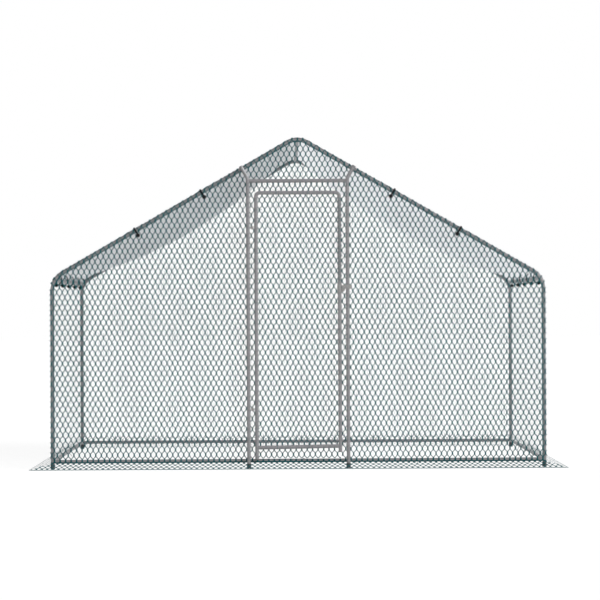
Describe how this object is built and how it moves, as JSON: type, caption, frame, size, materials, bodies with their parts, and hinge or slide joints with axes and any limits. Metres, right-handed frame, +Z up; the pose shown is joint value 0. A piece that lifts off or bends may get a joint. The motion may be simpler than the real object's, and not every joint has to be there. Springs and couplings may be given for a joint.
{
  "type": "walk-in chicken run",
  "caption": "Walk-in poultry run with a ridge roof: galvanised tube frame, hexagonal wire netting, a gray roof cover on ball bungees, and a hinged netted door with a fork latch.",
  "frame": {"origin": "on the ground, at the middle of the plan", "axes": "+X to the right along the front wall, +Y to the back, +Z up; the door is in the front wall, at -Y"},
  "size_m": [3.2504, 2.2504, 2.0017],
  "materials": {
    "galvanised_tube": "galvanised",
    "zinc_steel": "zinc plated",
    "coated_wire": "satin coating",
    "black_plastic": "matte",
    "black_elastic": "braided elastic",
    "cover_sheet": "coated woven sheet"
  },
  "bodies": {
    "frame": {"front_left_post": "galvanised_tube", "front_right_post": "galvanised_tube", "back_left_post": "galvanised_tube", "back_right_post": "galvanised_tube", "front_left_eave_bend": "galvanised_tube", "front_right_eave_bend": "galvanised_tube", "back_left_eave_bend": "galvanised_tube", "back_right_eave_bend": "galvanised_tube", "front_left_rafter": "galvanised_tube", "front_right_rafter": "galvanised_tube", "back_left_rafter": "galvanised_tube", "back_right_rafter": "galvanised_tube", "front_ridge_bend": "galvanised_tube", "back_ridge_bend": "galvanised_tube", "ridge_tube": "galvanised_tube", "left_eave_tube": "galvanised_tube", "right_eave_tube": "galvanised_tube", "left_rail": "galvanised_tube", "right_rail": "galvanised_tube", "front_left_rail": "galvanised_tube", "front_right_rail": "galvanised_tube", "back_left_rail": "galvanised_tube", "back_right_rail": "galvanised_tube", "left_door_post": "galvanised_tube", "right_door_post": "galvanised_tube", "lintel": "galvanised_tube", "front_left_net": "coated_wire", "front_right_net": "coated_wire", "front_gable_net": "coated_wire", "back_net": "coated_wire", "left_net": "coated_wire", "right_net": "coated_wire", "front_apron": "coated_wire", "back_apron": "coated_wire", "left_apron": "coated_wire", "right_apron": "coated_wire", "frame_screws": "zinc_steel", "post_bolts": "zinc_steel", "post_nuts": "zinc_steel", "post_saddles": "zinc_steel", "hinge_washers": "zinc_steel", "post_hinge_lugs": "zinc_steel", "cover_eyelets": "zinc_steel", "foot_caps": "black_plastic", "bungee_balls": "black_plastic", "bungee_cords": "black_elastic", "roof_cover": "cover_sheet"},
    "door": {"door_hoop": "galvanised_tube", "door_rail": "galvanised_tube", "stile_plugs": "black_plastic", "stile_hinge_lugs": "zinc_steel", "hinge_pins": "zinc_steel", "door_net": "coated_wire", "latch_collar": "zinc_steel", "latch_bolt": "zinc_steel", "latch_nut": "zinc_steel"},
    "latch": {"latch_fork": "zinc_steel"}
  },
  "joints": [
    {"name": "door_swing", "type": "hinge", "parent": "frame", "child": "door", "pos_m": [-0.2765, -1.017, 0.9], "axis": [0, 0, -1], "range_deg": [0, 120]},
    {"name": "latch_lift", "type": "hinge", "parent": "door", "child": "latch", "pos_m": [0.277, -1.017, 1.095], "axis": [0, -1, 0], "range_deg": [0, 90]}
  ]
}
